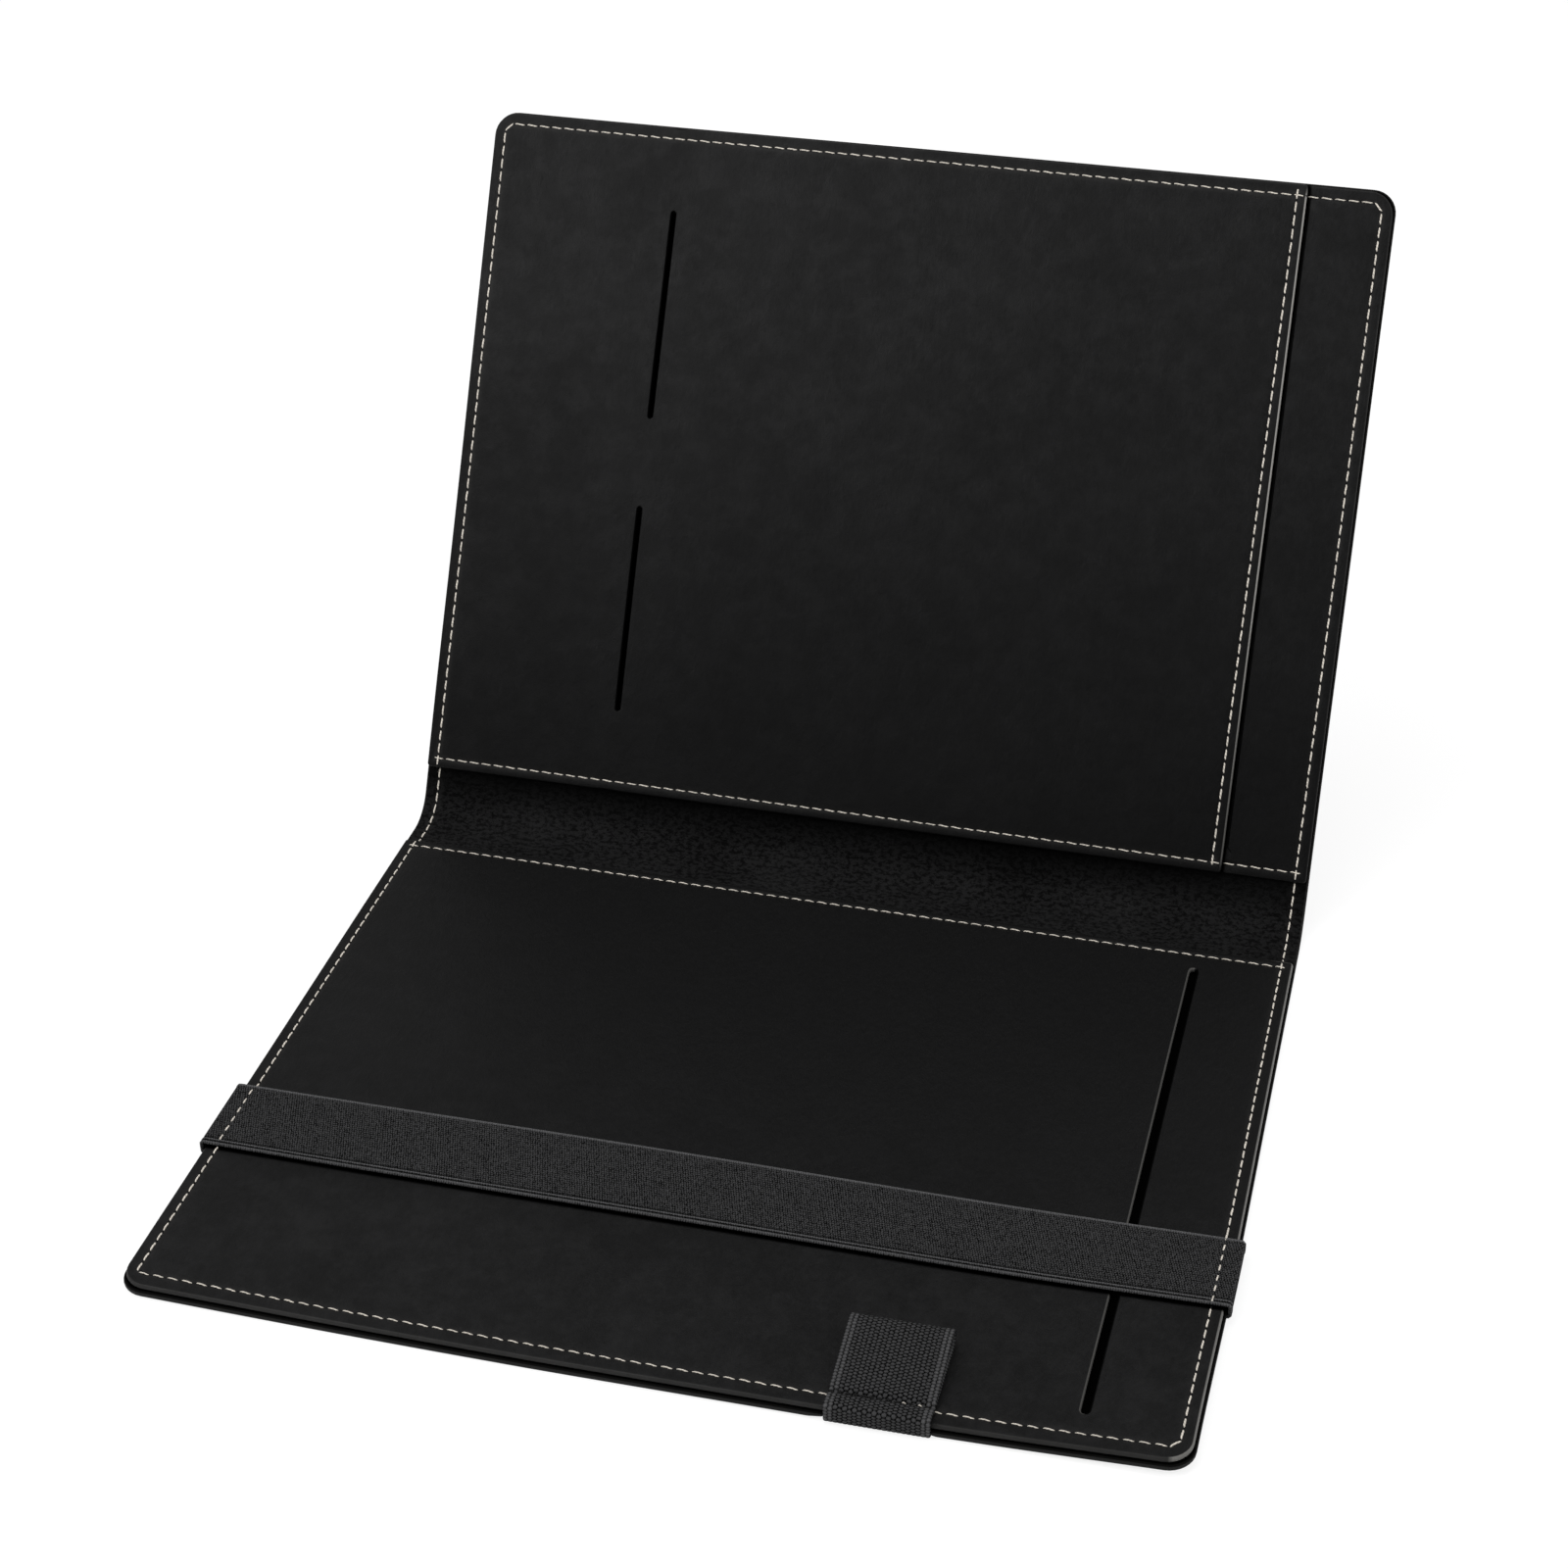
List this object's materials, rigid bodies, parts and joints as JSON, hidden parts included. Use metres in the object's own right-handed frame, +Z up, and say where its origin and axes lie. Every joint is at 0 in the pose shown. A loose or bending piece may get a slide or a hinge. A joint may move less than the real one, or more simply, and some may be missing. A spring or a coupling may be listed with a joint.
{
  "type": "leather document organizer",
  "caption": "Opened leather document folio with slit inner panels, a wide elastic closure band, an elastic pen loop and pale edge stitching.",
  "frame": {"origin": "centre of the back cover's underside, between its front edge and its fold, where it rests on a table", "axes": "+X along the spine to the right, +Y from the back cover's front edge towards the spine, +Z up"},
  "size_m": [0.323, 0.3864, 0.2251],
  "materials": {
    "outer_leather": "thick black leather, fine grain outside and suede inside",
    "panel_leather": "smooth black leather with burnished edges",
    "elastic": "black woven elastic, matt, with raised edges",
    "thread": "pale beige waxed sewing thread"
  },
  "bodies": {
    "back_cover": {"back_cover_leather": "outer_leather", "notepad_panel": "panel_leather", "closure_band": "elastic", "pen_loop": "elastic", "back_perimeter_thread": "thread", "back_panel_spine_thread": "thread"},
    "spine": {"spine_leather": "outer_leather", "spine_thread_left": "thread", "spine_thread_right": "thread"},
    "front_cover": {"front_cover_leather": "outer_leather", "front_lining": "panel_leather", "document_pocket_panel": "panel_leather", "front_perimeter_thread": "thread", "front_panel_spine_thread": "thread", "pocket_edge_thread": "thread"}
  },
  "joints": [
    {"name": "spine_fold", "type": "hinge", "parent": "back_cover", "child": "spine", "pos_m": [0, 0.1235, 0.0011], "axis": [1, 0, 0], "range_deg": [-30, 60]},
    {"name": "cover_fold", "type": "hinge", "parent": "spine", "child": "front_cover", "pos_m": [0, 0.13736, 0.0091], "axis": [1, 0, 0], "range_deg": [-30, 60]}
  ],
  "couplings": [
    {"joint": "cover_fold", "follows": "spine_fold", "ratio": 1}
  ]
}
